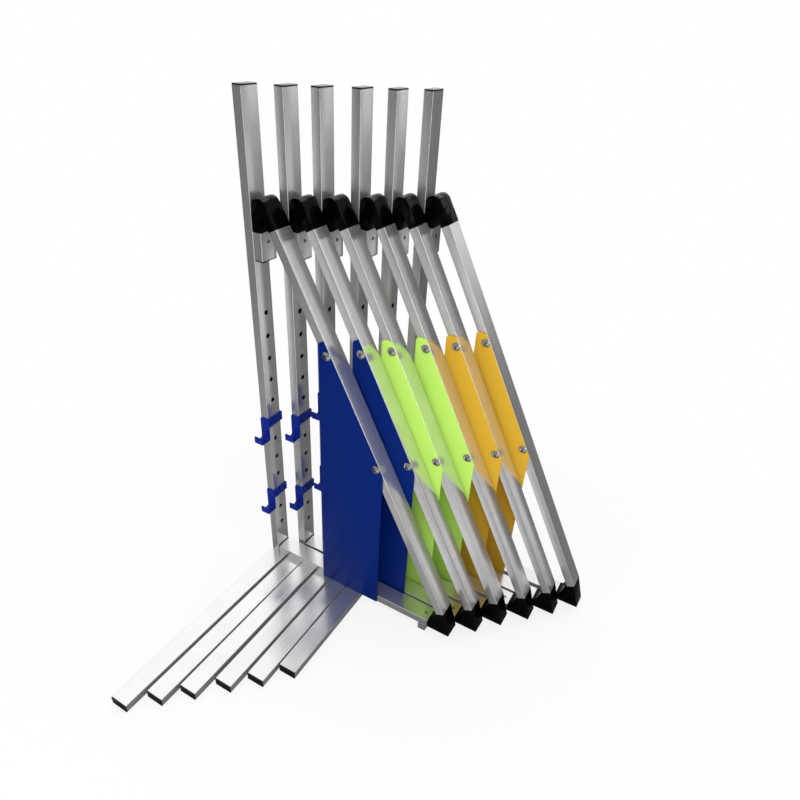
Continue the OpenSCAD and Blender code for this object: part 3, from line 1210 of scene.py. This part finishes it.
        # The backdrop at the back left is light down to the floor
        to_backdrop = (-0.6, 0.8, 0)
        back = add(tree, "VectorMath", {"operation": "DOT_PRODUCT"}, Vector=ray)
        back.inputs[1].default_value = to_backdrop
        sweep = add(
            tree,
            "MapRange",
            {"From Min": 0.55, "From Max": 0.9, "To Min": 0.0, "To Max": 1.15},
            Value=back.outputs["Value"],
        )
        level = add(tree, "Math", {"operation": "MAXIMUM"})
        tree.links.new(room.outputs["Value"], level.inputs[0])
        tree.links.new(sweep.outputs["Result"], level.inputs[1])
        tree.links.new(level.outputs["Value"], light.inputs["Strength"])
        backdrop = add(tree, "Background", {"Color": WHITE, "Strength": 1.0})
        path = add(tree, "LightPath")
        mix = add(tree, "MixShader", Fac=path.outputs["Is Camera Ray"])
        tree.links.new(light.outputs["Background"], mix.inputs[1])
        tree.links.new(backdrop.outputs["Background"], mix.inputs[2])
        tree.links.new(mix.outputs["Shader"], tree.nodes["World Output"].inputs["Surface"])

    def camera(self, stage):
        data = bpy.data.cameras.new("Camera")
        camera = bpy.data.objects.new("Camera", data)
        bpy.context.scene.collection.objects.link(camera)
        data.lens = stage.lens
        data.sensor_width = 36
        data.shift_x, data.shift_y = stage.shift
        data.clip_end = 50
        camera.matrix_world = (
            Matrix.Translation(stage.camera_place)
            @ Matrix.Rotation(stage.camera_azimuth, 4, "Z")
            @ Matrix.Rotation(math.pi / 2 - stage.camera_dip, 4, "X")
            @ Matrix.Rotation(stage.camera_roll, 4, "Z")
        )
        bpy.context.scene.camera = camera

    def execute(self, context):
        stage = sizes("hurdle_stage")
        self.floor(stage)
        self.world()
        self.lamp(
            "Key", place=(-1.6, -2.2, 2.6), target=(0, 0, 0.4), size=(1.6, 1.6), power=22
        )
        self.lamp(
            "Fill", place=(1.15, -1.9, 1.8), target=(0.15, 0, 0.3), size=(1.0, 1.0), power=19
        )
        self.lamp(
            "Window",
            place=(2.9, -1.55, 1.25),
            target=(0, 0, 0.6),
            size=(0.7, 1.6),
            power=14,
            mirrored=True,
        )
        self.camera(stage)
        context.scene.view_settings.view_transform = "Standard"
        return {"FINISHED"}


OPERATORS = (
    HURDLE_OT_tubes,
    HURDLE_OT_knuckles,
    HURDLE_OT_boots,
    HURDLE_OT_plugs,
    HURDLE_OT_panels,
    HURDLE_OT_fasteners,
    HURDLE_OT_cups,
    HURDLE_OT_stage,
)


class HURDLE_PT_sidebar(bpy.types.Panel):
    """Lists the steps that build the nest of wings"""

    bl_label = "Hurdle wings"
    bl_idname = "HURDLE_PT_sidebar"
    bl_space_type = "VIEW_3D"
    bl_region_type = "UI"
    bl_category = "Hurdle wings"

    def draw(self, context):
        for operator in OPERATORS:
            self.layout.operator(operator.bl_idname)


GROUPS = {
    "hurdle_brace": HurdleBraceSizes,
    "hurdle_fittings": HurdleFittingSizes,
    "hurdle_panels": HurdlePanelSizes,
    "hurdle_cups": HurdleCupSizes,
    "hurdle_colours": HurdleColours,
    "hurdle_stage": HurdleStage,
}


def register():
    for name, group in GROUPS.items():
        bpy.utils.register_class(group)
        setattr(bpy.types.Scene, name, bpy.props.PointerProperty(type=group))
    for operator in OPERATORS:
        bpy.utils.register_class(operator)
    bpy.utils.register_class(HURDLE_PT_sidebar)


def unregister():
    bpy.utils.unregister_class(HURDLE_PT_sidebar)
    for operator in reversed(OPERATORS):
        bpy.utils.unregister_class(operator)
    for name, group in reversed(GROUPS.items()):
        delattr(bpy.types.Scene, name)
        bpy.utils.unregister_class(group)


def main():
    register()
    for operator in OPERATORS:
        prefix, step = operator.bl_idname.split(".")
        getattr(getattr(bpy.ops, prefix), step)()


if __name__ == "__main__":
    main()
